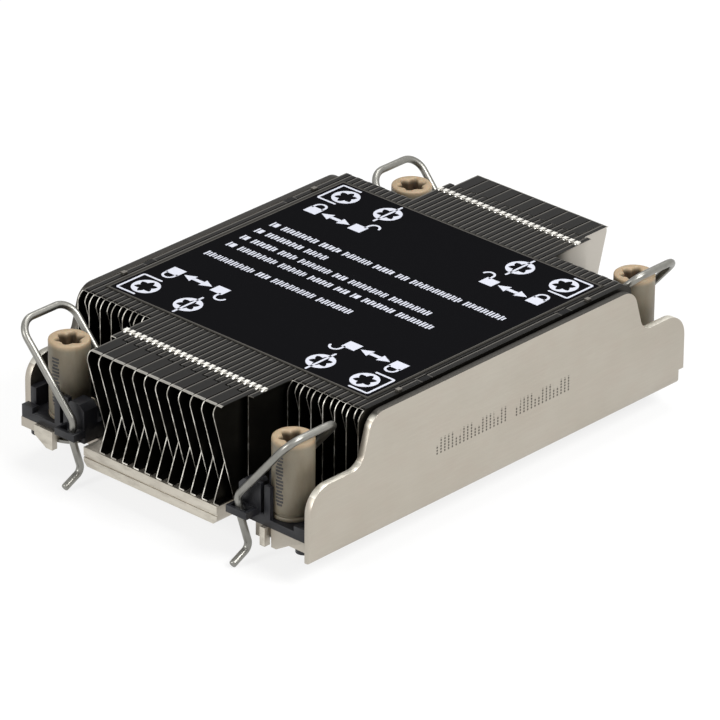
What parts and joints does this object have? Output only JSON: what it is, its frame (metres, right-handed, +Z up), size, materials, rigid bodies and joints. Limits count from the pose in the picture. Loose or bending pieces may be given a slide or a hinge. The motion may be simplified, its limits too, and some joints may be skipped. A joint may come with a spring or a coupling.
{
  "type": "server CPU heatsink",
  "caption": "Passive aluminium server processor heatsink: plated base with side walls, dense folded fins with a printed label film, captive driver nuts and anti-tilt wires.",
  "frame": {"origin": "centre of the contact face under the base", "axes": "+X across the fins, +Y along the airflow, +Z up out of the contact face"},
  "size_m": [0.078, 0.1144, 0.0312],
  "materials": {
    "nickel": "satin",
    "fin_sheet": "satin",
    "film": "matt",
    "nut_plastic": "satin",
    "keeper_plastic": "satin",
    "spring_steel": "polished"
  },
  "bodies": {
    "heatsink": {"base": "nickel", "label": "film", "left_end_fin": "fin_sheet", "left_slanted_fins_1": "fin_sheet", "left_upright_fins_1": "fin_sheet", "left_slanted_fins_2": "fin_sheet", "left_upright_fins_2": "fin_sheet", "left_slanted_fins_3": "fin_sheet", "left_upright_fin_3": "fin_sheet", "centre_left_fin": "fin_sheet", "centre_long_fins_1": "fin_sheet", "centre_footed_fins_1": "fin_sheet", "centre_long_fins_2": "fin_sheet", "centre_footed_fins_2": "fin_sheet", "centre_long_fins_3": "fin_sheet", "centre_footed_fins_3": "fin_sheet", "centre_long_fins_4": "fin_sheet", "centre_footed_fins_4": "fin_sheet", "centre_long_fins_5": "fin_sheet", "centre_footed_fins_5": "fin_sheet", "centre_long_fin_6": "fin_sheet", "centre_footed_fin_6": "fin_sheet", "centre_long_fin_7": "fin_sheet", "centre_right_fin": "fin_sheet", "right_upright_fins_1": "fin_sheet", "right_slanted_fins_1": "fin_sheet", "right_upright_fins_2": "fin_sheet", "right_slanted_fins_2": "fin_sheet", "right_upright_fins_3": "fin_sheet", "right_slanted_fin_3": "fin_sheet", "right_slanted_fin_4": "fin_sheet", "right_end_fin": "fin_sheet", "front_left_keeper": "keeper_plastic", "front_right_keeper": "keeper_plastic", "rear_left_keeper": "keeper_plastic", "rear_right_keeper": "keeper_plastic"},
    "front_left_nut": {"front_left_nut": "nut_plastic", "front_left_nut_ring": "spring_steel"},
    "front_left_wire": {"front_left_wire": "spring_steel"},
    "front_right_nut": {"front_right_nut": "nut_plastic", "front_right_nut_ring": "spring_steel"},
    "front_right_wire": {"front_right_wire": "spring_steel"},
    "rear_left_nut": {"rear_left_nut": "nut_plastic", "rear_left_nut_ring": "spring_steel"},
    "rear_left_wire": {"rear_left_wire": "spring_steel"},
    "rear_right_nut": {"rear_right_nut": "nut_plastic", "rear_right_nut_ring": "spring_steel"},
    "rear_right_wire": {"rear_right_wire": "spring_steel"}
  },
  "joints": [
    {"name": "front_left_nut_turn", "type": "hinge", "parent": "heatsink", "child": "front_left_nut", "pos_m": [-0.0294, -0.048, 0.0039], "axis": [0, 0, 1], "continuous": true},
    {"name": "front_left_wire_swing", "type": "hinge", "parent": "heatsink", "child": "front_left_wire", "pos_m": [-0.0216, -0.048, 0.0089], "axis": [0, 1, 0], "range_deg": [0, 20]},
    {"name": "front_right_nut_turn", "type": "hinge", "parent": "heatsink", "child": "front_right_nut", "pos_m": [0.0294, -0.048, 0.0039], "axis": [0, 0, 1], "continuous": true},
    {"name": "front_right_wire_swing", "type": "hinge", "parent": "heatsink", "child": "front_right_wire", "pos_m": [0.0216, -0.048, 0.0089], "axis": [0, 1, 0], "range_deg": [-20, 0]},
    {"name": "rear_left_nut_turn", "type": "hinge", "parent": "heatsink", "child": "rear_left_nut", "pos_m": [-0.0294, 0.048, 0.0039], "axis": [0, 0, 1], "continuous": true},
    {"name": "rear_left_wire_swing", "type": "hinge", "parent": "heatsink", "child": "rear_left_wire", "pos_m": [-0.0216, 0.048, 0.0089], "axis": [0, 1, 0], "range_deg": [0, 20]},
    {"name": "rear_right_nut_turn", "type": "hinge", "parent": "heatsink", "child": "rear_right_nut", "pos_m": [0.0294, 0.048, 0.0039], "axis": [0, 0, 1], "continuous": true},
    {"name": "rear_right_wire_swing", "type": "hinge", "parent": "heatsink", "child": "rear_right_wire", "pos_m": [0.0216, 0.048, 0.0089], "axis": [0, 1, 0], "range_deg": [-20, 0]}
  ]
}
